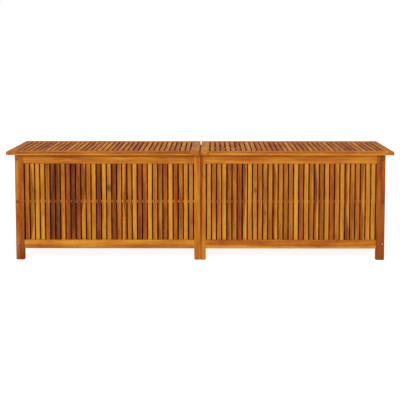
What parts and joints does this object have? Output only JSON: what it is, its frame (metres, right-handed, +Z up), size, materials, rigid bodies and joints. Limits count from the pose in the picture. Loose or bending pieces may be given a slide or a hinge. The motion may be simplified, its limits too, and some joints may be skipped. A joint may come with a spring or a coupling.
{
  "type": "deck storage box",
  "caption": "Long slatted wooden deck storage box on short feet, with hinged slatted lids side by side and a removable dark fabric liner in each compartment.",
  "frame": {"origin": "on the ground, under the middle of the closed box", "axes": "+X along the length to the right as seen from the front, +Y to the back where the hinges are, +Z up"},
  "size_m": [2, 0.5, 0.57],
  "materials": {
    "frame_wood": "oiled acacia, planed and eased, satin",
    "slat_wood": "oiled acacia strips of mixed tones, satin",
    "lid_frame_wood": "oiled acacia, planed and eased, satin",
    "lid_slat_wood": "oiled acacia strips of mixed tones, satin",
    "inner_wood": "planed acacia, lightly oiled",
    "bolt_steel": "bronze plated button head",
    "hinge_steel": "zinc plated, yellow passivated",
    "screw_steel": "zinc plated, yellow passivated",
    "liner_fabric": "coated woven polyester, matt",
    "hook_and_loop_tape": "woven nylon tape"
  },
  "bodies": {
    "box": {"back_left_bottom_rail": "frame_wood", "back_left_inner_stile": "frame_wood", "back_left_outer_stile": "frame_wood", "back_left_slats": "slat_wood", "back_left_top_rail": "frame_wood", "back_right_bottom_rail": "frame_wood", "back_right_inner_stile": "frame_wood", "back_right_outer_stile": "frame_wood", "back_right_slats": "slat_wood", "back_right_top_rail": "frame_wood", "back_slat_battens": "frame_wood", "barrel_nuts": "screw_steel", "centre_battens": "inner_wood", "centre_cross_rails": "inner_wood", "corner_bolts": "bolt_steel", "floor_ledgers": "inner_wood", "floor_slats": "inner_wood", "front_left_bottom_rail": "frame_wood", "front_left_inner_stile": "frame_wood", "front_left_outer_stile": "frame_wood", "front_left_slats": "slat_wood", "front_left_top_rail": "frame_wood", "front_right_bottom_rail": "frame_wood", "front_right_inner_stile": "frame_wood", "front_right_outer_stile": "frame_wood", "front_right_slats": "slat_wood", "front_right_top_rail": "frame_wood", "front_slat_battens": "frame_wood", "hinge_frame_leaves": "hinge_steel", "hinge_frame_screws": "screw_steel", "hinge_pins": "hinge_steel", "inner_screws": "screw_steel", "left_liner": "liner_fabric", "left_side_bottom_rail": "frame_wood", "left_side_slats": "slat_wood", "left_side_stiles": "frame_wood", "left_side_top_rail": "frame_wood", "liner_tapes": "hook_and_loop_tape", "right_liner": "liner_fabric", "right_side_bottom_rail": "frame_wood", "right_side_slats": "slat_wood", "right_side_stiles": "frame_wood", "right_side_top_rail": "frame_wood", "side_slat_battens": "frame_wood"},
    "left_lid": {"left_hinge_lid_leaves": "hinge_steel", "left_hinge_lid_screws": "screw_steel", "left_lid_back_rail": "lid_frame_wood", "left_lid_batten": "lid_frame_wood", "left_lid_front_rail": "lid_frame_wood", "left_lid_inner_stile": "lid_frame_wood", "left_lid_outer_stile": "lid_frame_wood", "left_lid_slats": "lid_slat_wood"},
    "right_lid": {"right_hinge_lid_leaves": "hinge_steel", "right_hinge_lid_screws": "screw_steel", "right_lid_back_rail": "lid_frame_wood", "right_lid_batten": "lid_frame_wood", "right_lid_front_rail": "lid_frame_wood", "right_lid_inner_stile": "lid_frame_wood", "right_lid_outer_stile": "lid_frame_wood", "right_lid_slats": "lid_slat_wood"}
  },
  "joints": [
    {"name": "left_lid_hinge", "type": "hinge", "parent": "box", "child": "left_lid", "pos_m": [-0.5015, 0.2235, 0.5485], "axis": [-1, 0, 0], "range_deg": [0, 95]},
    {"name": "right_lid_hinge", "type": "hinge", "parent": "box", "child": "right_lid", "pos_m": [0.5015, 0.2235, 0.5485], "axis": [-1, 0, 0], "range_deg": [0, 95]}
  ]
}
